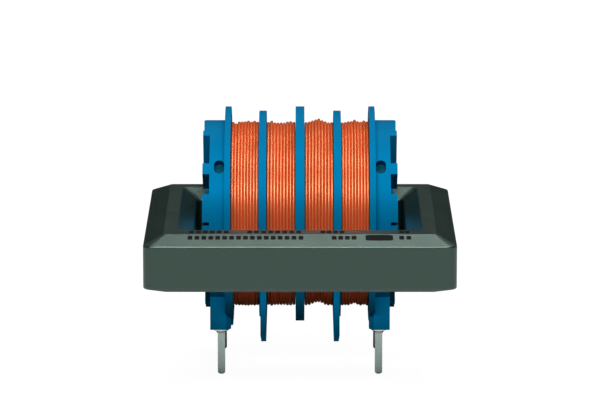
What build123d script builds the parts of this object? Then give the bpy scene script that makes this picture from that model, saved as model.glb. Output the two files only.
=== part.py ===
from build123d import *
from math import cos, hypot, radians, sin, sqrt
import os

# Common mode choke on a closed ferrite frame, lying flat over a circuit board.
# Units are millimetres. The origin is the middle of the four pins on the board's
# surface: X runs along the bobbin, -Y is the front, +Z is up.

# Pins and the grid that they stand on
PIN_PITCH_X = 15.0
PIN_PITCH_Y = 10.0
PIN_SIDE = 0.7
PIN_BELOW_BOARD = 4.0
PIN_IN_LEG = 3.0
PIN_TIP_TAPER = 0.2
PIN_FIT = 0.01

# Bobbin, measured along its axis
PIN_TO_CHAMBER = 0.93
END_FLANGE = 0.55
DRUM_LENGTH = 2.08
MIDDLE_FLANGE = 0.84
FOOT_FLANGE = 0.70
INNER_CHAMBER = 2.77
FLANGE_DRAFT = 0.05
TUBE_SETBACK = 0.3

# Bobbin, measured out from its axis
BORE_CLEARANCE = 0.17
TUBE_WALL = 0.65
FLANGE_RADIUS = 10.29
FLANGE_TO_BOARD = 0.28
FOOT_FLANGE_RADIUS = 9.88
DRUM_RADIUS = 8.97
DRUM_WALL = 3.3

# Rim teeth: angles are degrees above the front of the drum
NOTCH_DEPTH = 0.65
FIRST_NOTCH_ANGLE = 30.0
NOTCH_PITCH_ANGLE = 20.0
NOTCH_ANGLE = 12.7
LOWER_NOTCH_COUNT = 7
TONGUE_ANGLE = 4.5
TONGUE_GAP_ANGLE = 2.1
WIDE_START_ANGLE = 43.8
WIDE_END_ANGLE = 67.4
TOP_CROWN_ANGLE = 33.0
BASE_CROWN_ANGLE = 70.0
CROWN_DROP = 0.15
SLOT_ANGLE = 41.3
SLOT_WIDTH = 0.96
SLOT_HEIGHT = 1.44
SLOT_TO_FLANGE = 0.02

# Legs and feet
LEG_DEPTH = 1.5
LEG_CORNER = 0.45
LEG_STANDOFF = 0.45
FOOT_WIDTH = 17.0
FOOT_THICKNESS = 0.56
FOOT_TAPER = 0.09
FOOT_TAPER_HEIGHT = 0.6
KEY_WIDTH = 8.4
KEY_STEP = 0.19
KEY_START_ANGLE = 30.0
KEY_END_ANGLE = 100.0

# Ferrite frame
CORE_ABOVE_AXIS = 2.8
CORE_BELOW_AXIS = 2.6
LIMB_DEPTH = 4.54
FRONT_BAR = 4.95
SIDE_BAR = 4.4
WINDOW_DEPTH = 16.81
CORE_END_GAP = 0.65
OUTER_BEVEL_WIDE = 1.83
UPPER_BEVEL_HIGH = 0.80
LOWER_BEVEL_HIGH = 0.60
INNER_BEVEL_WIDE = 1.35
INNER_BEVEL_HIGH = 1.0
CORE_CORNER_RADIUS = 0.9
CORE_TOP_CORNER = 0.3
WINDOW_CORNER_RADIUS = 0.5
CORE_EDGE_RADIUS = 0.18

# Windings of enamelled wire
WIRE = 0.30
COIL_RADIUS = 8.80
COIL_FIT = 0.02
TURN_COUNT = 9
TURN_VALLEY = 0.11
FLAT_COUNT = 44
HUMP_HEIGHT = 0.08
HUMP_TURN_COUNT = 2.5
HUMP_TURNS = {
    "winding_left_outer": 5.0,
    "winding_left_inner": 1.0,
    "winding_right_inner": 4.0,
    "winding_right_outer": 4.0,
}

# Leads and solder
LEAD_SLOT_CLEARANCE = 0.15
LEAD_LIFT = 0.05
LEAD_BEND = 0.28
LEAD_STUB = 0.6
LEAD_START_DROP = 0.8
CROSSOVER_Y = 2.0
SOLDER_RADIUS = 0.73
SOLDER_TOP = 0.12
SOLDER_HEIGHT = 0.42
SOLDER_FILM = 0.03

# Places along the bobbin, from its middle
PIN_X = PIN_PITCH_X / 2
PIN_Y = PIN_PITCH_Y / 2
END_FLANGE_INNER = PIN_X - PIN_TO_CHAMBER
END_FLANGE_OUTER = END_FLANGE_INNER + END_FLANGE
BOBBIN_END = END_FLANGE_OUTER + DRUM_LENGTH
NOTCH_FLOOR = BOBBIN_END - NOTCH_DEPTH
MIDDLE_FACE = MIDDLE_FLANGE / 2
FOOT_FLANGE_INNER = MIDDLE_FACE + INNER_CHAMBER
FOOT_FLANGE_OUTER = FOOT_FLANGE_INNER + FOOT_FLANGE
KEY_INNER = END_FLANGE_INNER - KEY_STEP

# Places out from the bobbin's axis
AXIS_HEIGHT = FLANGE_RADIUS + FLANGE_TO_BOARD
OUTER_UPPER_EDGE = CORE_ABOVE_AXIS - UPPER_BEVEL_HIGH
OUTER_LOWER_EDGE = LOWER_BEVEL_HIGH - CORE_BELOW_AXIS
INNER_UPPER_EDGE = CORE_ABOVE_AXIS - INNER_BEVEL_HIGH
INNER_LOWER_EDGE = INNER_BEVEL_HIGH - CORE_BELOW_AXIS
CORE_REACH = max(CORE_ABOVE_AXIS, CORE_BELOW_AXIS)
LIMB_REACH = max(
    hypot(LIMB_DEPTH / 2, OUTER_UPPER_EDGE),
    hypot(LIMB_DEPTH / 2, OUTER_LOWER_EDGE),
    hypot(LIMB_DEPTH / 2, INNER_UPPER_EDGE),
    hypot(LIMB_DEPTH / 2, INNER_LOWER_EDGE),
    hypot(LIMB_DEPTH / 2 - OUTER_BEVEL_WIDE, CORE_REACH),
    hypot(LIMB_DEPTH / 2 - INNER_BEVEL_WIDE, CORE_REACH),
)
BORE_RADIUS = LIMB_REACH + BORE_CLEARANCE
TUBE_RADIUS = BORE_RADIUS + TUBE_WALL
DRUM_INSIDE = DRUM_RADIUS - DRUM_WALL
COIL_INSIDE = TUBE_RADIUS + COIL_FIT
CUT_MARGIN = 1.0
LEVEL_WITHIN = 0.001
CUT_RADIUS = max(FLANGE_RADIUS, FOOT_FLANGE_RADIUS, DRUM_RADIUS) + CUT_MARGIN

# Places across the frame
WINDOW_WIDTH = 2 * (BOBBIN_END + CORE_END_GAP)
CORE_WIDTH = WINDOW_WIDTH + 2 * SIDE_BAR
CORE_DEPTH = LIMB_DEPTH + WINDOW_DEPTH + FRONT_BAR
CORE_MIDDLE_Y = LIMB_DEPTH / 2 - CORE_DEPTH / 2
WINDOW_MIDDLE_Y = -LIMB_DEPTH / 2 - WINDOW_DEPTH / 2

# Heights under the axis
BOARD_Z = -AXIS_HEIGHT
LEG_BOTTOM = BOARD_Z + LEG_STANDOFF
LEAD_SLOT = WIRE + LEAD_SLOT_CLEARANCE
LEAD_Y = TUBE_RADIUS + WIRE / 2
LEAD_X = (END_FLANGE_INNER + END_FLANGE_OUTER) / 2
CROSSOVER_X = (FOOT_FLANGE_INNER + FOOT_FLANGE_OUTER) / 2
LEAD_RADIUS = COIL_RADIUS + HUMP_HEIGHT + WIRE / 2 + LEAD_LIFT
LEAD_RUN_Z = -sqrt(LEAD_RADIUS**2 - LEAD_Y**2)
CROSSOVER_RUN_Z = -sqrt(LEAD_RADIUS**2 - CROSSOVER_Y**2)
CROSSOVER_TOP = -sqrt((TUBE_RADIUS + WIRE) ** 2 - CROSSOVER_Y**2)
LEAD_END_Z = LEG_BOTTOM - SOLDER_HEIGHT / 2


def turned(outline):
    """Solid turned about the bobbin's axis from (along, out) corners."""
    wire = Polyline(*[(along, 0, out) for along, out in outline], close=True)
    return revolve(make_face(wire), Axis.X, 360)


def ring(start, end, inside, outside):
    """Plain ring about the bobbin's axis."""
    return turned([(start, inside), (end, inside), (end, outside), (start, outside)])


def sector(start, end, inside, outside, low, high):
    """Part of a ring from the low to the high angle above the front."""
    corners = [(start, -inside), (end, -inside), (end, -outside), (start, -outside)]
    wire = Polyline(*[(along, out, 0) for along, out in corners], close=True)
    return Rot(-high, 0, 0) * revolve(make_face(wire), Axis.X, high - low)


def block(x_range, y_range, z_range):
    """Box between two values on each axis."""
    lows = [min(x_range), min(y_range), min(z_range)]
    highs = [max(x_range), max(y_range), max(z_range)]
    size = [high - low for low, high in zip(lows, highs)]
    return Pos(*lows) * Box(*size, align=(Align.MIN, Align.MIN, Align.MIN))


def placed(solid):
    """Moves a solid from the bobbin's axis to its height over the board."""
    return Pos(0, 0, AXIS_HEIGHT) * solid


def slab(width, depth, radius, height):
    """Rounded rectangle at a height."""
    return Pos(0, 0, height) * RectangleRounded(width, depth, radius)


def bevelled_slab(width, depth, wide, low, high, radius, edge_radius):
    """Upright sides from a low to a high level, with a bevel above and below them."""
    face_width = width - 2 * wide
    face_depth = depth - 2 * wide
    sides = extrude(slab(width, depth, radius, low), high - low)
    top_face = slab(face_width, face_depth, edge_radius, CORE_ABOVE_AXIS)
    bottom_face = slab(face_width, face_depth, edge_radius, -CORE_BELOW_AXIS)
    upper = loft([slab(width, depth, radius, high), top_face])
    lower = loft([bottom_face, slab(width, depth, radius, low)])
    return sides + upper + lower


def core_frame():
    """Closed frame: its back limb runs through the bobbin."""
    outside = bevelled_slab(
        CORE_WIDTH,
        CORE_DEPTH,
        OUTER_BEVEL_WIDE,
        OUTER_LOWER_EDGE,
        OUTER_UPPER_EDGE,
        CORE_CORNER_RADIUS,
        CORE_TOP_CORNER,
    )
    window = bevelled_slab(
        WINDOW_WIDTH,
        WINDOW_DEPTH,
        -INNER_BEVEL_WIDE,
        INNER_LOWER_EDGE,
        INNER_UPPER_EDGE,
        WINDOW_CORNER_RADIUS,
        WINDOW_CORNER_RADIUS,
    )
    frame = Pos(0, CORE_MIDDLE_Y, 0) * outside - Pos(0, WINDOW_MIDDLE_Y, 0) * window
    level_edges = [edge for edge in frame.edges() if edge.bounding_box().size.Z < LEVEL_WITHIN]
    return fillet(level_edges, CORE_EDGE_RADIUS)


def flange(inner, outer, radius):
    """Disc that thins a little from the tube to its edge."""
    return turned(
        [
            (inner - FLANGE_DRAFT, BORE_RADIUS),
            (outer + FLANGE_DRAFT, BORE_RADIUS),
            (outer, radius),
            (inner, radius),
        ]
    )


def end_flange():
    """Disc between a chamber and its drum, drafted on the chamber's side alone."""
    return turned(
        [
            (END_FLANGE_INNER - FLANGE_DRAFT, BORE_RADIUS),
            (END_FLANGE_OUTER, BORE_RADIUS),
            (END_FLANGE_OUTER, FLANGE_RADIUS),
            (END_FLANGE_INNER, FLANGE_RADIUS),
        ]
    )


def half_spool():
    """Everything that the bobbin has all round, on the right of its middle."""
    spool = ring(0, BOBBIN_END - TUBE_SETBACK, BORE_RADIUS, TUBE_RADIUS)
    spool += flange(-MIDDLE_FACE, MIDDLE_FACE, FLANGE_RADIUS)
    spool += flange(FOOT_FLANGE_INNER, FOOT_FLANGE_OUTER, FOOT_FLANGE_RADIUS)
    spool += end_flange()
    spool += ring(END_FLANGE_OUTER, BOBBIN_END, DRUM_INSIDE, DRUM_RADIUS)
    return spool


def both_sides(solid):
    """A solid on the right with its mirror image on the left."""
    return solid + mirror(solid, Plane.YZ)


def both_fronts(solid):
    """A solid at the front with its mirror image at the back."""
    return solid + mirror(solid, Plane.XZ)


def rim_cut(low, high, floor=NOTCH_FLOOR):
    """Notch through the right rim between two angles, down to a floor."""
    return sector(floor, BOBBIN_END + CUT_MARGIN, TUBE_RADIUS, CUT_RADIUS, low, high)


def crown(middle, width):
    """Shallow cut that lowers the rim's end over an angle."""
    return rim_cut(middle - width / 2, middle + width / 2, BOBBIN_END - CROWN_DROP)


def upper_rim_cuts():
    """A narrow and a wide notch, front and back, and the lowered crown."""
    cuts = both_fronts(rim_cut(FIRST_NOTCH_ANGLE - NOTCH_ANGLE / 2, FIRST_NOTCH_ANGLE + NOTCH_ANGLE / 2))
    cuts += both_fronts(rim_cut(WIDE_START_ANGLE, WIDE_END_ANGLE))
    return cuts + crown(90, TOP_CROWN_ANGLE)


def tongue_space(low, high):
    """Rim between two angles, front and back, where the halves reach past each other."""
    return both_fronts(sector(NOTCH_FLOOR, BOBBIN_END, DRUM_INSIDE, DRUM_RADIUS, low, high))


def lead_holes():
    """Long holes through the drum's upper front and back."""
    middle = END_FLANGE_OUTER + SLOT_TO_FLANGE + SLOT_WIDTH / 2
    outward = (0, -cos(radians(SLOT_ANGLE)), sin(radians(SLOT_ANGLE)))
    around = (0, sin(radians(SLOT_ANGLE)), cos(radians(SLOT_ANGLE)))
    hole = Plane(origin=(middle, 0, 0), x_dir=around, z_dir=outward) * SlotOverall(SLOT_HEIGHT, SLOT_WIDTH)
    return both_fronts(extrude(hole, CUT_RADIUS))


def above_parting():
    """Space above the plane where the halves meet."""
    reach = BOBBIN_END + CUT_MARGIN
    return block((-reach, reach), (-CUT_RADIUS, CUT_RADIUS), (0, CUT_RADIUS))


def below_parting():
    """Space below the plane where the halves meet."""
    return mirror(above_parting(), Plane.XY)


def hub_space():
    """Space that the drum holes must not reach: the tube and its bore."""
    return ring(0, BOBBIN_END + CUT_MARGIN, 0, TUBE_RADIUS + CUT_MARGIN)


def bobbin_upper_half(spool):
    """Upper shell: half tube, half flanges, half drums with notched rims."""
    right = spool & above_parting()
    right -= upper_rim_cuts()
    right -= lead_holes() - hub_space()
    right -= tongue_space(0, TONGUE_ANGLE + TONGUE_GAP_ANGLE)
    return both_sides(right)


def leg():
    """Front right leg, from the drum down to its pin, with its front inner corner off."""
    inner = END_FLANGE_INNER
    outer = NOTCH_FLOOR
    back = -PIN_Y + LEG_DEPTH / 2
    front = -PIN_Y - LEG_DEPTH / 2
    outline = Polyline(
        (inner, back, 0),
        (inner, front + LEG_CORNER, 0),
        (inner + LEG_CORNER, front, 0),
        (outer, front, 0),
        (outer, back, 0),
        close=True,
    )
    post = extrude(make_face(outline), LEG_BOTTOM, dir=(0, 0, 1))
    return post - ring(0, BOBBIN_END, 0, DRUM_INSIDE)


def pin_socket():
    """Square hole up into the front right leg."""
    half = PIN_SIDE / 2 + PIN_FIT
    top = LEG_BOTTOM + PIN_IN_LEG + PIN_FIT
    return block((PIN_X - half, PIN_X + half), (-PIN_Y - half, -PIN_Y + half), (LEG_BOTTOM - CUT_MARGIN, top))


def foot():
    """Thin standing plate under a foot flange, thinner at the board."""
    inner = FOOT_FLANGE_INNER
    outer = inner + FOOT_THICKNESS
    outline = Polyline(
        (inner, 0, -TUBE_RADIUS),
        (outer, 0, -TUBE_RADIUS),
        (outer, 0, BOARD_Z + FOOT_TAPER_HEIGHT),
        (outer - FOOT_TAPER, 0, BOARD_Z),
        (inner, 0, BOARD_Z),
        close=True,
    )
    return extrude(make_face(outline), FOOT_WIDTH / 2, both=True, dir=(0, 1, 0))


def slit(through, place_y, wire_top):
    """Upright slit through a flange, from just over a wire's top down to the board."""
    half = LEAD_SLOT / 2
    return block(through, (place_y - half, place_y + half), (wire_top + half, BOARD_Z - CUT_MARGIN))


def lead_slits():
    """Slits for the leads in the end flange, and for lead and crossover in the foot flange."""
    end = (KEY_INNER, END_FLANGE_OUTER)
    foot = (FOOT_FLANGE_INNER - FLANGE_DRAFT, FOOT_FLANGE_OUTER + FLANGE_DRAFT)
    slits = both_fronts(slit(end, -LEAD_Y, -LEAD_START_DROP))
    slits += slit(foot, LEAD_Y, LEAD_RUN_Z)
    slits += slit(foot, CROSSOVER_Y, CROSSOVER_TOP)
    return slits - ring(0, BOBBIN_END, 0, TUBE_RADIUS)


def lower_rim_cuts():
    """Evenly spaced notches of the lower rim, and its lowered base."""
    cuts = crown(-90, BASE_CROWN_ANGLE)
    for place in range(LOWER_NOTCH_COUNT):
        middle = -FIRST_NOTCH_ANGLE - NOTCH_PITCH_ANGLE * place
        cuts += rim_cut(middle - NOTCH_ANGLE / 2, middle + NOTCH_ANGLE / 2)
    return cuts


def key_tab():
    """Straight tab under the left end flange, and the thicker rim over it: the first pin's side."""
    half = KEY_WIDTH / 2
    tab = block((-END_FLANGE_OUTER, -KEY_INNER), (-half, half), (LEG_BOTTOM, -DRUM_RADIUS))
    rim = sector(KEY_INNER, END_FLANGE_OUTER, DRUM_RADIUS, FLANGE_RADIUS, -KEY_END_ANGLE, -KEY_START_ANGLE)
    return tab + mirror(rim, Plane.YZ)


def bobbin_lower_half(spool):
    """Lower shell: as the upper one, with legs, feet, sockets and slits."""
    right = spool & below_parting()
    right -= lower_rim_cuts()
    right += both_fronts(leg())
    right += foot()
    right -= both_fronts(pin_socket())
    right += tongue_space(0, TONGUE_ANGLE)
    both = both_sides(right) + key_tab()
    return both - both_sides(lead_slits())


def turn_section(place, radius):
    """Outline of the winding at a place along it, in flats too fine to see."""
    return Plane(origin=(place, 0, 0), z_dir=(1, 0, 0)) * RegularPolygon(radius, FLAT_COUNT)


def coil(start, end, hump_turn):
    """Wound wire in one chamber: one ridge for each turn of the top layer."""
    low = min(start, end) + COIL_FIT
    high = max(start, end) - COIL_FIT
    pitch = (high - low) / TURN_COUNT
    valley = COIL_RADIUS - TURN_VALLEY
    sections = [turn_section(low, valley)]
    for turn in range(TURN_COUNT):
        nearness = max(0, 1 - abs(turn - hump_turn) / HUMP_TURN_COUNT)
        crest = COIL_RADIUS + HUMP_HEIGHT * nearness
        sections.append(turn_section(low + (turn + 0.5) * pitch, crest))
        sections.append(turn_section(low + (turn + 1) * pitch, valley))
    wound = loft(sections, ruled=True)
    slack = FLANGE_DRAFT + COIL_FIT
    drafted = [(low + slack, COIL_INSIDE), (low, valley), (low, CUT_RADIUS)]
    drafted += [(high, CUT_RADIUS), (high, valley), (high - slack, COIL_INSIDE)]
    return wound & turned(drafted)


def terminal_pin(side, row):
    """Square pin with a tapered tip; side and row are -1 or 1."""
    length = PIN_IN_LEG + LEG_STANDOFF + PIN_BELOW_BOARD
    tip = LEG_BOTTOM + PIN_IN_LEG - length
    shank = extrude(Pos(0, 0, tip + PIN_TIP_TAPER) * Rectangle(PIN_SIDE, PIN_SIDE), length - PIN_TIP_TAPER)
    small = PIN_SIDE - 2 * PIN_TIP_TAPER
    point = loft(
        [
            Pos(0, 0, tip) * Rectangle(small, small),
            Pos(0, 0, tip + PIN_TIP_TAPER) * Rectangle(PIN_SIDE, PIN_SIDE),
        ]
    )
    return Pos(side * PIN_X, row * PIN_Y, 0) * (shank + point)


def solder(side, row):
    """Bead of solder round a pin, against the leg."""
    film = PIN_SIDE / sqrt(2) + SOLDER_FILM
    profile = Polyline(
        (0, 0, LEG_BOTTOM),
        (SOLDER_RADIUS, 0, LEG_BOTTOM),
        (SOLDER_RADIUS, 0, LEG_BOTTOM - SOLDER_TOP),
        (film, 0, LEG_BOTTOM - SOLDER_HEIGHT),
        (0, 0, LEG_BOTTOM - SOLDER_HEIGHT),
        close=True,
    )
    bead = Pos(side * PIN_X, row * PIN_Y, 0) * revolve(make_face(profile), Axis.Z, 360)
    return bead - terminal_pin(side, row)


def bent_wire(points):
    """Round wire along straight runs joined by arcs."""
    path = FilletPolyline(*points, radius=LEAD_BEND)
    section = Plane(origin=path @ 0, z_dir=path % 0) * Circle(WIRE / 2)
    return sweep(section, path)


def lead_foot(side, row):
    """Last points of a lead: down the flange and in to its pin."""
    return [
        (side * LEAD_X, row * LEAD_Y, LEAD_END_Z),
        (side * PIN_X, row * PIN_Y, LEAD_END_Z),
    ]


def start_lead(side, outer_coil):
    """Front lead: from the innermost turn down the end flange's slit to its pin."""
    top = -LEAD_START_DROP
    coil_side = END_FLANGE_INNER - COIL_FIT - FLANGE_DRAFT
    points = [(side * coil_side, -LEAD_Y, top), (side * LEAD_X, -LEAD_Y, top)] + lead_foot(side, -1)
    return bent_wire(points) - solder(side, -1) - terminal_pin(side, -1) - outer_coil


def finish_lead(side, inner_coil):
    """Back lead: from the inner chamber's last turn, under the outer one, to its pin."""
    leaves = FOOT_FLANGE_INNER - LEAD_STUB
    points = [
        (side * leaves, LEAD_Y, LEAD_RUN_Z + LEAD_STUB),
        (side * leaves, LEAD_Y, LEAD_RUN_Z),
        (side * LEAD_X, LEAD_Y, LEAD_RUN_Z),
    ] + lead_foot(side, 1)
    return bent_wire(points) - solder(side, 1) - terminal_pin(side, 1) - inner_coil


def crossover(side, outer_coil, inner_coil):
    """Wire from the outer chamber's last turn up the foot flange to the inner one's first."""
    leaves = FOOT_FLANGE_OUTER + LEAD_STUB
    coil_side = FOOT_FLANGE_INNER - COIL_FIT - FLANGE_DRAFT
    points = [
        (side * leaves, CROSSOVER_Y, CROSSOVER_RUN_Z + LEAD_STUB),
        (side * leaves, CROSSOVER_Y, CROSSOVER_RUN_Z),
        (side * CROSSOVER_X, CROSSOVER_Y, CROSSOVER_RUN_Z),
        (side * CROSSOVER_X, CROSSOVER_Y, CROSSOVER_TOP),
        (side * coil_side, CROSSOVER_Y, CROSSOVER_TOP),
    ]
    return bent_wire(points) - outer_coil - inner_coil


def build():
    """All the pieces by name, in the bobbin's own frame."""
    spool = half_spool()
    parts = {
        "core_frame": core_frame(),
        "bobbin_upper_half": bobbin_upper_half(spool),
        "bobbin_lower_half": bobbin_lower_half(spool),
    }
    for name, hump_turn in HUMP_TURNS.items():
        side = -1 if "left" in name else 1
        outer = (FOOT_FLANGE_OUTER, END_FLANGE_INNER)
        inner = (MIDDLE_FACE, FOOT_FLANGE_INNER)
        start, end = outer if "outer" in name else inner
        parts[name] = coil(side * start, side * end, hump_turn)
    for side, hand in ((-1, "left"), (1, "right")):
        for row, place in ((-1, "front"), (1, "back")):
            parts[f"pin_{place}_{hand}"] = terminal_pin(side, row)
            parts[f"solder_{place}_{hand}"] = solder(side, row)
        outer_coil = parts[f"winding_{hand}_outer"]
        inner_coil = parts[f"winding_{hand}_inner"]
        parts[f"lead_front_{hand}"] = start_lead(side, outer_coil)
        parts[f"lead_back_{hand}"] = finish_lead(side, inner_coil)
        parts[f"crossover_{hand}"] = crossover(side, outer_coil, inner_coil)
    return parts


os.makedirs("parts", exist_ok=True)
for node, solid in build().items():
    export_step(placed(solid), f"parts/{node}.step")
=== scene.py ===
import math

import bpy
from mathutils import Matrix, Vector, noise


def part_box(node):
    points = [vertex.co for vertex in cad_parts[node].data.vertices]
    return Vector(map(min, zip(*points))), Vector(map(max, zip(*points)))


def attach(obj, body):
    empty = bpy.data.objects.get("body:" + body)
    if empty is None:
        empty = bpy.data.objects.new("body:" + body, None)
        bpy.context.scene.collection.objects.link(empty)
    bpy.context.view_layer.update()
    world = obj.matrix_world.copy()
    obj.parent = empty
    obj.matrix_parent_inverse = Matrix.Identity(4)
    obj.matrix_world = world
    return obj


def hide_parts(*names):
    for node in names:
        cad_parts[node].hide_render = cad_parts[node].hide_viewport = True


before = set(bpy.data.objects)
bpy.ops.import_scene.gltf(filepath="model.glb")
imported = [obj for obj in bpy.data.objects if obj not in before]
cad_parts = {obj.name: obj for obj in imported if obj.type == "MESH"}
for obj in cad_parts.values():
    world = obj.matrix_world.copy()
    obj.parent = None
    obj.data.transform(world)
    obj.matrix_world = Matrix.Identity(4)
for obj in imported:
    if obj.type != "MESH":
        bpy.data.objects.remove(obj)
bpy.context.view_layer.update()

# Ferrite frame.
# Pressed and fired in one piece, matt dark grey-green, with broad bevels from the
# press tool. Its pores give it a fine grain.
FERRITE = (0.0020, 0.0090, 0.0075, 1)
FERRITE_PALE = (0.0040, 0.0140, 0.0120, 1)
FERRITE_SHEEN = (0.68, 1.0, 0.85, 1)
FERRITE_GRAIN = 9000
FERRITE_MOTTLE = 500
FERRITE_ROUGH = (0.30, 0.42)
FERRITE_BUMP = 0.5
FERRITE_IOR = 2.0
GRAIN_HEIGHT = 0.00002


def grain_group():
    """Fine grain and wider mottle of a pressed or moulded skin, as two values of the place."""
    group = bpy.data.node_groups.new("fine_grain", "ShaderNodeTree")
    group.interface.new_socket("Vector", in_out="INPUT", socket_type="NodeSocketVector")
    group.interface.new_socket("Grain Scale", in_out="INPUT", socket_type="NodeSocketFloat")
    group.interface.new_socket("Mottle Scale", in_out="INPUT", socket_type="NodeSocketFloat")
    group.interface.new_socket("Grain", in_out="OUTPUT", socket_type="NodeSocketFloat")
    group.interface.new_socket("Mottle", in_out="OUTPUT", socket_type="NodeSocketFloat")
    inside = group.nodes.new("NodeGroupInput")
    outside = group.nodes.new("NodeGroupOutput")
    grain = group.nodes.new("ShaderNodeTexNoise")
    grain.inputs["Detail"].default_value = 3
    mottle = group.nodes.new("ShaderNodeTexNoise")
    mottle.inputs["Detail"].default_value = 4
    group.links.new(inside.outputs["Vector"], grain.inputs["Vector"])
    group.links.new(inside.outputs["Grain Scale"], grain.inputs["Scale"])
    group.links.new(inside.outputs["Vector"], mottle.inputs["Vector"])
    group.links.new(inside.outputs["Mottle Scale"], mottle.inputs["Scale"])
    group.links.new(grain.outputs["Fac"], outside.inputs["Grain"])
    group.links.new(mottle.outputs["Fac"], outside.inputs["Mottle"])
    return group


fine_grain = grain_group()


def skin_material(name, dark, pale, grain_scale, mottle_scale, rough, bump):
    """Grained skin between two colours, with roughness that follows the mottle."""
    material = bpy.data.materials.new(name)
    material.use_nodes = True
    nodes = material.node_tree.nodes
    links = material.node_tree.links
    shader = nodes["Principled BSDF"]
    place = nodes.new("ShaderNodeTexCoord")
    grain = nodes.new("ShaderNodeGroup")
    grain.node_tree = fine_grain
    grain.inputs["Grain Scale"].default_value = grain_scale
    grain.inputs["Mottle Scale"].default_value = mottle_scale
    links.new(place.outputs["Object"], grain.inputs["Vector"])
    colour = nodes.new("ShaderNodeMix")
    colour.data_type = "RGBA"
    colour.inputs["A"].default_value = dark
    colour.inputs["B"].default_value = pale
    links.new(grain.outputs["Mottle"], colour.inputs["Factor"])
    links.new(colour.outputs["Result"], shader.inputs["Base Color"])
    roughness = nodes.new("ShaderNodeMapRange")
    roughness.inputs["To Min"].default_value = rough[0]
    roughness.inputs["To Max"].default_value = rough[1]
    links.new(grain.outputs["Mottle"], roughness.inputs["Value"])
    links.new(roughness.outputs["Result"], shader.inputs["Roughness"])
    height = nodes.new("ShaderNodeBump")
    height.inputs["Strength"].default_value = bump
    height.inputs["Distance"].default_value = GRAIN_HEIGHT
    links.new(grain.outputs["Grain"], height.inputs["Height"])
    links.new(height.outputs["Normal"], shader.inputs["Normal"])
    return material


ferrite = skin_material(
    "ferrite", FERRITE, FERRITE_PALE, FERRITE_GRAIN, FERRITE_MOTTLE, FERRITE_ROUGH, FERRITE_BUMP
)
ferrite_shader = ferrite.node_tree.nodes["Principled BSDF"]
ferrite_shader.inputs["IOR"].default_value = FERRITE_IOR
ferrite_shader.inputs["Specular Tint"].default_value = FERRITE_SHEEN
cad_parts["core_frame"].material_slots[0].material = ferrite

# Print on the front bar.
# Matt black ink from a print pad, in one row on the top flat and one on the bevel:
# plain short bars, and a solid block near the right end of the bevel's row.
INK = (0.0015, 0.0020, 0.0018, 1)
INK_WORN = (0.0060, 0.0080, 0.0070, 1)
INK_GRAIN = 12000
INK_MOTTLE = 1800
INK_ROUGH = (0.55, 0.70)
INK_BUMP = 0.2
INK_SHINE = 0.12
INK_THICK = 0.000014
INK_SUNK = 0.000006
BAR_TALL = 0.00058
BAR_WIDE = 0.00044
BAR_CORNER = 0.00008
BAR_PITCH = 0.00064
BEVEL_RISE = 0.80
BEVEL_RUN = 1.83
FLAT_ROW = (Vector((0, -0.02128, 0.01337)), 0)
BEVEL_ROW = (Vector((0, -0.02272, 0.01314)), math.atan2(BEVEL_RISE, BEVEL_RUN))
FLAT_STRETCH = 1.9
BEVEL_STRETCH = 1.0
FLAT_RUNS = ((-0.0102, -0.0064), (-0.0049, 0.0002), (0.0018, 0.0041), (0.0090, 0.0100))
BEVEL_RUNS = ((-0.0103, 0.0004), (0.0028, 0.0052), (0.0089, 0.0102))
BLOCK_PLACE = 0.0072
BLOCK_WIDE = 0.0025
BLOCK_STRETCH = 1.5

ink = skin_material("ink", INK, INK_WORN, INK_GRAIN, INK_MOTTLE, INK_ROUGH, INK_BUMP)
ink.node_tree.nodes["Principled BSDF"].inputs["Specular IOR Level"].default_value = INK_SHINE
bpy.ops.object.select_all(action="DESELECT")
bpy.ops.mesh.primitive_plane_add(size=1, location=(0, 0, 0))
bar = bpy.context.object
bar.name = "print_marks"
bar.scale = (BAR_WIDE, BAR_TALL, 1)
bpy.ops.object.transform_apply(location=True, rotation=True, scale=True)
bpy.ops.object.mode_set(mode="EDIT")
bpy.ops.mesh.select_all(action="SELECT")
bpy.ops.mesh.bevel(offset=BAR_CORNER, offset_type="OFFSET", segments=2, affect="VERTICES")
bpy.ops.mesh.select_all(action="SELECT")
bpy.ops.transform.translate(value=(0, 0, -INK_SUNK))
bpy.ops.mesh.extrude_region_move(TRANSFORM_OT_translate={"value": (0, 0, INK_THICK)})
bpy.ops.mesh.select_all(action="SELECT")
bpy.ops.mesh.normals_make_consistent(inside=False)
bpy.ops.object.mode_set(mode="OBJECT")
bar.data.materials.append(ink)

bar_places = []
print_rows = ((FLAT_ROW, FLAT_RUNS, FLAT_STRETCH), (BEVEL_ROW, BEVEL_RUNS, BEVEL_STRETCH))
for (row_middle, tilt), runs, stretch in print_rows:
    for run_start, run_end in runs:
        bars = round((run_end - run_start) / BAR_PITCH)
        for count in range(bars):
            across = run_start + (run_end - run_start) * (count + 0.5) / bars
            bar_places.append((row_middle + Vector((across, 0, 0)), tilt, (1, stretch, 1)))
bevel_middle, bevel_tilt = BEVEL_ROW
block_middle = bevel_middle + Vector((BLOCK_PLACE, 0, 0))
bar_places.append((block_middle, bevel_tilt, (BLOCK_WIDE / BAR_WIDE, BLOCK_STRETCH, 1)))
bar_copies = []
for bar_place, tilt, bar_scale in bar_places:
    bar_copy = bar.copy()
    bar_copy.data = bar.data.copy()
    bpy.context.collection.objects.link(bar_copy)
    bar_copy.location = bar_place
    bar_copy.rotation_euler = (tilt, 0, 0)
    bar_copy.scale = bar_scale
    bar_copies.append(bar_copy)
bpy.data.objects.remove(bar)
bpy.ops.object.select_all(action="DESELECT")
for bar_copy in bar_copies:
    bar_copy.select_set(True)
bpy.context.view_layer.objects.active = bar_copies[0]
bpy.ops.object.transform_apply(location=True, rotation=True, scale=True)
bpy.ops.object.join()
print_marks = bpy.context.object
print_marks.name = "print_marks"
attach(print_marks, "root")

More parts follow.
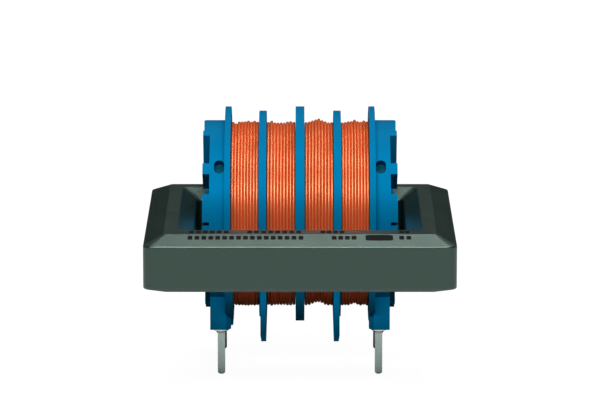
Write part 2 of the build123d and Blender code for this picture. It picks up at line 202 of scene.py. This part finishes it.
# Bobbin shells.
# Two injection-moulded halves in blue plastic, satin from the mould, that close
# round the limb of the frame and are held by the windings.
BLUE = (0.0004, 0.183, 0.392, 1)
BLUE_PALE = (0.0008, 0.201, 0.424, 1)
BLUE_SHEEN = (0.02, 0.70, 1.0, 1)
PLASTIC_GRAIN = 5000
PLASTIC_MOTTLE = 300
PLASTIC_BUMP = 0.25
BLUE_ROUGH = (0.46, 0.56)
BLUE_LUSTRE = 0.2
BLUE_SHINE = 0.03

blue_plastic = skin_material(
    "blue_plastic", BLUE, BLUE_PALE, PLASTIC_GRAIN, PLASTIC_MOTTLE, BLUE_ROUGH, PLASTIC_BUMP
)
blue_shader = blue_plastic.node_tree.nodes["Principled BSDF"]
blue_shader.inputs["Metallic"].default_value = BLUE_LUSTRE
blue_shader.inputs["Specular IOR Level"].default_value = BLUE_SHINE
blue_shader.inputs["Specular Tint"].default_value = BLUE_SHEEN
for half in ("bobbin_upper_half", "bobbin_lower_half"):
    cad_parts[half].material_slots[0].material = blue_plastic

# Floors of the drum holes.
# The long holes in the drums look closed and darker a little way in, and what closes
# them is hidden. A web of the same plastic stands in for it: dull, and coloured a darker blue as painted
# shade down the hole.
# Painted shade: a darker copy of the blue plastic for the hole floors.
SHADE_PAINTED_BLUE = (0.0010, 0.095, 0.140, 1)
SHADE_PAINTED_BLUE_PALE = (0.0014, 0.106, 0.156, 1)
SHADE_PAINTED_BLUE_ROUGH = (0.70, 0.80)
SHADE_PAINTED_BLUE_SHINE = 0.05
HOLE_X = 0.00762
HOLE_ANGLE = math.radians(41.3)
HOLE_RADIUS = 0.000475
HOLE_STRAIGHT = 0.00048
HOLE_FLOOR = 0.0082
HOLE_ROOT = 0.0060
BOBBIN_AXIS = Vector((0, 0, 0.01057))

# Darker blue for the hole floors, painted shade rather than a plastic of its own.
shade_painted_blue = skin_material(
    "shade_painted_blue", SHADE_PAINTED_BLUE, SHADE_PAINTED_BLUE_PALE, PLASTIC_GRAIN, PLASTIC_MOTTLE, SHADE_PAINTED_BLUE_ROUGH, PLASTIC_BUMP
)
shade_painted_blue.node_tree.nodes["Principled BSDF"].inputs["Specular IOR Level"].default_value = SHADE_PAINTED_BLUE_SHINE
for hand, side in (("left", -1), ("right", 1)):
    for row, lean in (("front", math.pi / 2 - HOLE_ANGLE), ("back", HOLE_ANGLE - math.pi / 2)):
        bpy.ops.object.select_all(action="DESELECT")
        bpy.ops.mesh.primitive_circle_add(
            vertices=32, radius=HOLE_RADIUS, fill_type="NGON", location=(0, 0, 0)
        )
        web = bpy.context.object
        web.name = f"hole_floor_{row}_{hand}"
        for vertex in web.data.vertices:
            vertex.co.y += math.copysign(HOLE_STRAIGHT / 2, vertex.co.y)
            vertex.co.z = HOLE_ROOT
        bpy.ops.object.mode_set(mode="EDIT")
        bpy.ops.mesh.select_all(action="SELECT")
        bpy.ops.mesh.extrude_region_move(
            TRANSFORM_OT_translate={"value": (0, 0, HOLE_FLOOR - HOLE_ROOT)}
        )
        bpy.ops.mesh.select_all(action="SELECT")
        bpy.ops.mesh.normals_make_consistent(inside=False)
        bpy.ops.object.mode_set(mode="OBJECT")
        web.rotation_euler = (lean, 0, 0)
        web.location = BOBBIN_AXIS + Vector((side * HOLE_X, 0, 0))
        bpy.ops.object.transform_apply(location=True, rotation=True, scale=True)
        web.data.materials.append(shade_painted_blue)
        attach(web, "root")

# Windings.
# Enamelled copper wire of 0.3 mm, wound in many layers round the tube. Nine turns of
# the top layer show in each chamber: they lie level round the front, step to the next
# turn at the back, and some ride up or sink between their neighbours.
WIRE_RADIUS = 0.00015
WIRE_TURNS = 9
LAYER_STEP = 0.00026
TURN_POINTS = 72
STEP_SHARE = 0.15
TUCK_SHARE = 0.12
WANDER = 0.000004
WANDER_PACE = 1.3
TOP_SIDES = 4
UNDER_SIDES = 1
BODY_INNER = 0.0039
BODY_RADIUS = 0.0082
BODY_DRAFT = 0.00007
BODY_STEPS = 96
SMOOTH_ANGLE = math.radians(40)
COPPER = (0.98, 0.116, 0.022, 1)
COPPER_PALE = (1.0, 0.168, 0.036, 1)
COPPER_SHEEN = (1.0, 0.66, 0.36, 1)
COPPER_STREAKS = (6.0, 1.0, 1.0)
COPPER_MOTTLE = 420
COPPER_ROUGH = (0.36, 0.44)
COPPER_LUSTRE = 0.35
COPPER_IOR = 4.6

enamelled_copper = bpy.data.materials.new("enamelled_copper")
enamelled_copper.use_nodes = True
copper_nodes = enamelled_copper.node_tree.nodes
copper_links = enamelled_copper.node_tree.links
copper_shader = copper_nodes["Principled BSDF"]
copper_place = copper_nodes.new("ShaderNodeTexCoord")
along_wire = copper_nodes.new("ShaderNodeMapping")
along_wire.inputs["Scale"].default_value = COPPER_STREAKS
copper_links.new(copper_place.outputs["Object"], along_wire.inputs["Vector"])
copper_tint = copper_nodes.new("ShaderNodeTexNoise")
copper_tint.inputs["Scale"].default_value = COPPER_MOTTLE
copper_tint.inputs["Detail"].default_value = 3
copper_links.new(along_wire.outputs["Vector"], copper_tint.inputs["Vector"])
copper_colour = copper_nodes.new("ShaderNodeMix")
copper_colour.data_type = "RGBA"
copper_colour.inputs["A"].default_value = COPPER
copper_colour.inputs["B"].default_value = COPPER_PALE
copper_links.new(copper_tint.outputs["Fac"], copper_colour.inputs["Factor"])
copper_links.new(copper_colour.outputs["Result"], copper_shader.inputs["Base Color"])
copper_rough = copper_nodes.new("ShaderNodeMapRange")
copper_rough.inputs["To Min"].default_value = COPPER_ROUGH[0]
copper_rough.inputs["To Max"].default_value = COPPER_ROUGH[1]
copper_links.new(copper_tint.outputs["Fac"], copper_rough.inputs["Value"])
copper_links.new(copper_rough.outputs["Result"], copper_shader.inputs["Roughness"])
copper_shader.inputs["Metallic"].default_value = COPPER_LUSTRE
copper_shader.inputs["IOR"].default_value = COPPER_IOR
copper_shader.inputs["Specular Tint"].default_value = COPPER_SHEEN


def smooth(share):
    """Even ramp from 0 to 1 with soft ends."""
    share = min(max(share, 0), 1)
    return share * share * (3 - 2 * share)


def step_at(turn):
    """Turns gone along the bobbin: whole ones at the front, with the step at the back."""
    whole = math.floor(turn + STEP_SHARE)
    return whole - 1 + smooth((turn + STEP_SHARE - whole) / (2 * STEP_SHARE))


def at_turn(values, turn):
    """Value of the turn that is nearest, with a soft change at the back."""
    place = min(max(step_at(turn), 0), len(values) - 1)
    first = min(int(place), len(values) - 2)
    return values[first] + (values[first + 1] - values[first]) * (place - first)


def tuck_at(turn, turns):
    """Share of a layer by which the wire dives in at the start and the end of its layer."""
    start = smooth((TUCK_SHARE - turn) / (2 * TUCK_SHARE))
    end = smooth((turn - turns + TUCK_SHARE) / (2 * TUCK_SHARE))
    return start + end


def wound_layer(name, start, pitch, radii, lifts, sides):
    """One layer of wire round the bobbin's axis, as a curve with a round bevel."""
    turns = len(radii)
    curve = bpy.data.curves.new(name, "CURVE")
    curve.dimensions = "3D"
    curve.bevel_depth = WIRE_RADIUS
    curve.bevel_resolution = sides
    curve.use_fill_caps = True
    line = curve.splines.new("POLY")
    first = -round(TUCK_SHARE * TURN_POINTS)
    last = turns * TURN_POINTS - first
    line.points.add(last - first)
    for count, point in enumerate(line.points):
        turn = (first + count) / TURN_POINTS
        place = min(max(step_at(turn), 0), turns - 1)
        radius = at_turn(radii, turn) - WIRE_RADIUS - tuck_at(turn, turns) * LAYER_STEP
        wander = noise.noise(Vector((turn * WANDER_PACE, start * 3000, 0.5))) * WANDER
        angle = 2 * math.pi * turn
        along = start + pitch * place + wander
        forward = radius * math.cos(angle)
        height = radius * math.sin(angle) + at_turn(lifts, turn)
        point.co = (along, BOBBIN_AXIS.y + forward, BOBBIN_AXIS.z + height, 1)
    layer = bpy.data.objects.new(name, curve)
    bpy.context.collection.objects.link(layer)
    return layer


def coil_body(name, low, high):
    """Closed ring of the inner layers, turned from its section round the axis."""
    bpy.ops.mesh.primitive_plane_add(size=1, location=(0, 0, 0))
    body = bpy.context.object
    body.name = name
    inner_corners = [(low + BODY_DRAFT, BODY_INNER), (high - BODY_DRAFT, BODY_INNER)]
    outer_corners = [(low, BODY_RADIUS), (high, BODY_RADIUS)]
    for vertex, (x, z) in zip(body.data.vertices, inner_corners + outer_corners):
        vertex.co = BOBBIN_AXIS + Vector((x, 0, z))
    bpy.ops.object.mode_set(mode="EDIT")
    bpy.ops.mesh.select_all(action="SELECT")
    bpy.ops.mesh.delete(type="ONLY_FACE")
    bpy.ops.mesh.select_all(action="SELECT")
    bpy.ops.mesh.spin(steps=BODY_STEPS, angle=2 * math.pi, center=BOBBIN_AXIS, axis=(1, 0, 0))
    bpy.ops.mesh.select_all(action="SELECT")
    bpy.ops.mesh.remove_doubles(threshold=0.000001)
    bpy.ops.mesh.select_all(action="SELECT")
    bpy.ops.mesh.normals_make_consistent(inside=False)
    bpy.ops.object.mode_set(mode="OBJECT")
    return body


def wind(node, radii, lifts):
    """The wire of one chamber over its inner layers, in the place of a CAD winding."""
    low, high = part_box(node)
    pitch = (high.x - low.x - 2 * WIRE_RADIUS) / (WIRE_TURNS - 1)
    start = low.x + WIRE_RADIUS
    top = wound_layer(node + "_wire", start, pitch, radii, lifts, TOP_SIDES)
    under = [radius - LAYER_STEP for radius in radii[:-1]]
    below = wound_layer(node + "_under", start + pitch / 2, pitch, under, lifts[:-1], UNDER_SIDES)
    bpy.ops.object.select_all(action="DESELECT")
    top.select_set(True)
    below.select_set(True)
    bpy.context.view_layer.objects.active = top
    bpy.ops.object.convert(target="MESH")
    bpy.ops.object.select_all(action="DESELECT")
    body = coil_body(node + "_layers", low.x, high.x)
    for piece in (top, below, body):
        piece.select_set(True)
    bpy.context.view_layer.objects.active = top
    bpy.ops.object.join()
    top.data.materials.clear()
    top.data.materials.append(enamelled_copper)
    bpy.ops.object.shade_smooth_by_angle(angle=SMOOTH_ANGLE)
    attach(top, "root")
    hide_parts(node)


# Outer radius of each turn at the front, and how far it rides up or sinks over the top.
LEFT_OUTER = (0.00879, 0.00874, 0.00884, 0.00884, 0.00886, 0.00890, 0.00883, 0.00889, 0.00882)
LEFT_OUTER_LIFT = (0, -0.00008, 0, 0, 0, 0.00003, 0, 0.00003, 0)
LEFT_INNER = (0.00879, 0.00890, 0.00878, 0.00877, 0.00878, 0.00877, 0.00884, 0.00886, 0.00880)
LEFT_INNER_LIFT = (0, 0.00002, -0.00003, -0.00003, -0.00003, -0.00003, 0, 0.00001, 0)
RIGHT_INNER = (0.00881, 0.00882, 0.00881, 0.00880, 0.00883, 0.00879, 0.00882, 0.00880, 0.00880)
RIGHT_INNER_LIFT = (-0.00003, 0.00002, 0.00013, 0.00024, 0.00030, 0.00018, 0.00004, -0.00005, -0.00003)
RIGHT_OUTER = (0.00880, 0.00881, 0.00885, 0.00881, 0.00883, 0.00882, 0.00884, 0.00886, 0.00884)
RIGHT_OUTER_LIFT = (-0.00005, -0.00002, 0.00001, 0.00007, 0.00019, 0.00005, -0.00002, 0.00008, 0)

wind("winding_left_outer", LEFT_OUTER, LEFT_OUTER_LIFT)
wind("winding_left_inner", LEFT_INNER, LEFT_INNER_LIFT)
wind("winding_right_inner", RIGHT_INNER, RIGHT_INNER_LIFT)
wind("winding_right_outer", RIGHT_OUTER, RIGHT_OUTER_LIFT)

# Leads and crossovers.
# The ends of the same enamelled wire, bent down through slits in the flanges and
# in to the pins.
for hand in ("left", "right"):
    for wire in ("lead_front_", "lead_back_", "crossover_"):
        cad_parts[wire + hand].material_slots[0].material = enamelled_copper

# Pins.
# Square drawn wire, tin plated, pressed up into the legs. The drawing leaves fine
# streaks along it.
TIN = (0.60, 0.74, 0.69, 1)
TIN_DARK = (0.52, 0.64, 0.60, 1)
TIN_STREAKS = (1.0, 1.0, 0.05)
TIN_GRAIN = 9000
TIN_ROUGH = 0.38
TIN_LUSTRE = 0.9

tinned_pin = bpy.data.materials.new("tinned_pin")
tinned_pin.use_nodes = True
pin_nodes = tinned_pin.node_tree.nodes
pin_links = tinned_pin.node_tree.links
pin_shader = pin_nodes["Principled BSDF"]
pin_place = pin_nodes.new("ShaderNodeTexCoord")
pin_streaks = pin_nodes.new("ShaderNodeMapping")
pin_streaks.inputs["Scale"].default_value = TIN_STREAKS
pin_links.new(pin_place.outputs["Object"], pin_streaks.inputs["Vector"])
pin_noise = pin_nodes.new("ShaderNodeTexNoise")
pin_noise.inputs["Scale"].default_value = TIN_GRAIN
pin_links.new(pin_streaks.outputs["Vector"], pin_noise.inputs["Vector"])
pin_colour = pin_nodes.new("ShaderNodeMix")
pin_colour.data_type = "RGBA"
pin_colour.inputs["A"].default_value = TIN_DARK
pin_colour.inputs["B"].default_value = TIN
pin_links.new(pin_noise.outputs["Fac"], pin_colour.inputs["Factor"])
pin_links.new(pin_colour.outputs["Result"], pin_shader.inputs["Base Color"])
pin_shader.inputs["Metallic"].default_value = TIN_LUSTRE
pin_shader.inputs["Roughness"].default_value = TIN_ROUGH
for place in ("front_left", "front_right", "back_left", "back_right"):
    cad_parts["pin_" + place].material_slots[0].material = tinned_pin

# Solder beads.
# Solder that joins each lead's end to its pin, drawn up into a bright cone with
# hollow sides under the leg.
SOLDER = (0.78, 0.80, 0.78, 1)
SOLDER_MOTTLE = 2200
SOLDER_ROUGH = (0.12, 0.3)
SOLDER_SIDES = 32
SOLDER_SMOOTH = math.radians(50)
SOLDER_RIM = 0.00073
SOLDER_STEPS = (
    (0.00073, 0.00012), (0.00060, 0.00020), (0.00050, 0.00028), (0.00044, 0.00036), (0.00042, 0.00042)
)

solder = bpy.data.materials.new("solder")
solder.use_nodes = True
solder_nodes = solder.node_tree.nodes
solder_links = solder.node_tree.links
solder_shader = solder_nodes["Principled BSDF"]
solder_place = solder_nodes.new("ShaderNodeTexCoord")
solder_noise = solder_nodes.new("ShaderNodeTexNoise")
solder_noise.inputs["Scale"].default_value = SOLDER_MOTTLE
solder_links.new(solder_place.outputs["Object"], solder_noise.inputs["Vector"])
solder_rough = solder_nodes.new("ShaderNodeMapRange")
solder_rough.inputs["To Min"].default_value = SOLDER_ROUGH[0]
solder_rough.inputs["To Max"].default_value = SOLDER_ROUGH[1]
solder_links.new(solder_noise.outputs["Fac"], solder_rough.inputs["Value"])
solder_links.new(solder_rough.outputs["Result"], solder_shader.inputs["Roughness"])
solder_shader.inputs["Base Color"].default_value = SOLDER
solder_shader.inputs["Metallic"].default_value = 1.0

for place in ("front_left", "front_right", "back_left", "back_right"):
    node = "solder_" + place
    low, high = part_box(node)
    middle = (low + high) / 2
    bpy.ops.object.select_all(action="DESELECT")
    bpy.ops.mesh.primitive_circle_add(
        vertices=SOLDER_SIDES, radius=SOLDER_RIM, fill_type="NGON", location=(middle.x, middle.y, high.z)
    )
    bead = bpy.context.object
    bead.name = node + "_bead"
    bpy.ops.object.transform_apply(location=True, rotation=True, scale=True)
    bpy.ops.object.mode_set(mode="EDIT")
    bpy.ops.mesh.select_all(action="SELECT")
    width = SOLDER_RIM
    depth = 0
    for radius, drop in SOLDER_STEPS:
        bpy.ops.mesh.extrude_region_move(TRANSFORM_OT_translate={"value": (0, 0, depth - drop)})
        share = radius / width
        centre = (middle.x, middle.y, high.z - drop)
        bpy.ops.transform.resize(value=(share, share, 1), center_override=centre)
        width = radius
        depth = drop
    bpy.ops.mesh.select_all(action="SELECT")
    bpy.ops.mesh.normals_make_consistent(inside=False)
    bpy.ops.object.mode_set(mode="OBJECT")
    bpy.ops.object.shade_smooth_by_angle(angle=SOLDER_SMOOTH)
    bead.data.materials.append(solder)
    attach(bead, "root")
    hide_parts(node)

# Floor.
# A pale table top at the pins' tips, wide enough to fill the camera's view. It is
# white to the camera with the choke's faint shadow, and to all else a dimmer surface
# with a painted shadow, a soft-edged darker patch under and behind the choke.
FLOOR_Z = -0.004
FLOOR_SIZE = 3
# Place, size and soft edge of the painted shadow under and behind the choke.
SHADE_Y = 0.0235
SHADE_WIDE = 0.026
SHADE_DEEP = 0.0275
SHADE_EDGE = (0.92, 1.12)
# Floor tones inside the painted shadow and outside it, for each kind of ray.
ROOM_SHADED = (0.03, 0.045, 0.03, 1)
ROOM_OPEN = (0.18, 0.22, 0.17, 1)
SHINE_SHADED = (0.05, 0.05, 0.05, 1)
SHINE_OPEN = (0.62, 0.62, 0.62, 1)
SHINE_GLOW = 0.35
WHITE_DULL = (0.10, 0.10, 0.10, 1)
WHITE_GLOW = 9.7

bpy.ops.object.select_all(action="DESELECT")
bpy.ops.mesh.primitive_plane_add(size=FLOOR_SIZE, location=(0, 0, FLOOR_Z))
floor = bpy.context.object
floor.name = "floor"
bpy.ops.object.transform_apply(location=True, rotation=True, scale=True)
floor_material = bpy.data.materials.new("pale_floor")
floor_material.use_nodes = True
floor_nodes = floor_material.node_tree.nodes
floor_links = floor_material.node_tree.links
floor_nodes.remove(floor_nodes["Principled BSDF"])
floor_ray = floor_nodes.new("ShaderNodeLightPath")
floor_place = floor_nodes.new("ShaderNodeTexCoord")
under_choke = floor_nodes.new("ShaderNodeMapping")
under_choke.vector_type = "TEXTURE"
under_choke.inputs["Location"].default_value = (0, SHADE_Y, FLOOR_Z)
under_choke.inputs["Scale"].default_value = (SHADE_WIDE, SHADE_DEEP, 1)
floor_links.new(floor_place.outputs["Object"], under_choke.inputs["Vector"])
either_side = floor_nodes.new("ShaderNodeVectorMath")
either_side.operation = "ABSOLUTE"
floor_links.new(under_choke.outputs["Vector"], either_side.inputs[0])
two_ways = floor_nodes.new("ShaderNodeSeparateXYZ")
floor_links.new(either_side.outputs["Vector"], two_ways.inputs["Vector"])
shade_reach = floor_nodes.new("ShaderNodeMath")
shade_reach.operation = "MAXIMUM"
floor_links.new(two_ways.outputs["X"], shade_reach.inputs[0])
floor_links.new(two_ways.outputs["Y"], shade_reach.inputs[1])


def floor_side(name, shaded, open_floor, glow):
    """Dull surface with a painted shadow under the choke, and a glow of glow times its tone."""
    tone = floor_nodes.new("ShaderNodeMix")
    tone.name = name
    tone.data_type = "RGBA"
    tone.inputs["A"].default_value = shaded
    tone.inputs["B"].default_value = open_floor
    edge = floor_nodes.new("ShaderNodeMapRange")
    edge.interpolation_type = "SMOOTHSTEP"
    edge.inputs["From Min"].default_value = SHADE_EDGE[0]
    edge.inputs["From Max"].default_value = SHADE_EDGE[1]
    floor_links.new(shade_reach.outputs["Value"], edge.inputs["Value"])
    floor_links.new(edge.outputs["Result"], tone.inputs["Factor"])
    dull = floor_nodes.new("ShaderNodeBsdfDiffuse")
    floor_links.new(tone.outputs["Result"], dull.inputs["Color"])
    light = floor_nodes.new("ShaderNodeEmission")
    light.inputs["Strength"].default_value = glow
    floor_links.new(tone.outputs["Result"], light.inputs["Color"])
    both = floor_nodes.new("ShaderNodeAddShader")
    floor_links.new(dull.outputs["BSDF"], both.inputs[0])
    floor_links.new(light.outputs["Emission"], both.inputs[1])
    return both


def floor_choice(factor, otherwise, chosen):
    """Second shader where the ray is of the kind that factor tells, else the first."""
    choice = floor_nodes.new("ShaderNodeMixShader")
    floor_links.new(factor, choice.inputs["Fac"])
    floor_links.new(otherwise.outputs["Shader"], choice.inputs[1])
    floor_links.new(chosen.outputs["Shader"], choice.inputs[2])
    return choice


floor_mirrored = floor_nodes.new("ShaderNodeMath")
floor_mirrored.operation = "MAXIMUM"
floor_links.new(floor_ray.outputs["Is Glossy Ray"], floor_mirrored.inputs[0])
floor_links.new(floor_ray.outputs["Is Transmission Ray"], floor_mirrored.inputs[1])
floor_room = floor_side("floor_room", ROOM_SHADED, ROOM_OPEN, 0)
floor_shine = floor_side("floor_shine", SHINE_SHADED, SHINE_OPEN, SHINE_GLOW)
floor_white = floor_side("floor_white", WHITE_DULL, WHITE_DULL, WHITE_GLOW)
floor_glossy = floor_choice(floor_mirrored.outputs["Value"], floor_room, floor_shine)
floor_all = floor_choice(floor_ray.outputs["Is Camera Ray"], floor_glossy, floor_white)
floor_links.new(floor_all.outputs["Shader"], floor_nodes["Material Output"].inputs["Surface"])
floor.data.materials.append(floor_material)

# Light.
# A flat softbox in front and one overhead, each for a line of shine along the wires, a
# strip high behind for the frame's bevels and three weak boxes that fill the back. The
# room is white behind the choke and nearly dark to everything else.
MIDDLE = Vector((0, -0.003, 0.0105))
LAMP_REACH = 0.5
ROOM_WHITE = (1, 1, 1, 1)
ROOM_DIM = 0.01


def softbox(name, azimuth, elevation, size, power):
    """Rectangular lamp half a metre off, turned to the choke; azimuth 0 is the front."""
    lamp = bpy.data.lights.new(name, "AREA")
    lamp.shape = "RECTANGLE"
    lamp.size = size[0]
    lamp.size_y = size[1]
    lamp.energy = power
    round_z = math.radians(azimuth)
    up = math.radians(elevation)
    level = math.cos(up)
    way = Vector((math.sin(round_z) * level, -math.cos(round_z) * level, math.sin(up)))
    box = bpy.data.objects.new(name, lamp)
    box.location = MIDDLE + way * LAMP_REACH
    box.rotation_euler = way.to_track_quat("Z", "Y").to_euler()
    bpy.context.collection.objects.link(box)


softbox("key", -4, 42, (0.24, 0.07), 1.44)
softbox("overhead", 10, 79, (0.24, 0.10), 0.92)
softbox("back_strip", 152, 61, (0.40, 0.06), 0.50)
softbox("back_low", 180, 30, (0.30, 0.06), 0.05)
softbox("fill_left", -130, 35, (0.20, 0.20), 0.05)
softbox("fill_right", 130, 35, (0.20, 0.20), 0.05)

world = bpy.data.worlds.new("room")
world.use_nodes = True
room_nodes = world.node_tree.nodes
room_ray = room_nodes.new("ShaderNodeLightPath")
room_level = room_nodes.new("ShaderNodeMapRange")
room_level.inputs["To Min"].default_value = ROOM_DIM
room_level.inputs["To Max"].default_value = 1.0
world.node_tree.links.new(room_ray.outputs["Is Camera Ray"], room_level.inputs["Value"])
world.node_tree.links.new(room_level.outputs["Result"], room_nodes["Background"].inputs["Strength"])
room_nodes["Background"].inputs["Color"].default_value = ROOM_WHITE
bpy.context.scene.world = world

# Camera.
# A long lens, a little above the choke and looking down 12 degrees at it.
LENS = 256.56
SENSOR_WIDTH = 36
CAMERA_PLACE = (0, -0.40178, 0.09597)
CAMERA_TILT = math.radians(78.18)

camera_data = bpy.data.cameras.new("camera")
camera_data.lens = LENS
camera_data.sensor_width = SENSOR_WIDTH
camera = bpy.data.objects.new("camera", camera_data)
camera.location = CAMERA_PLACE
camera.rotation_euler = (CAMERA_TILT, 0, 0)
bpy.context.collection.objects.link(camera)
bpy.context.scene.camera = camera
bpy.context.scene.view_settings.view_transform = "Standard"
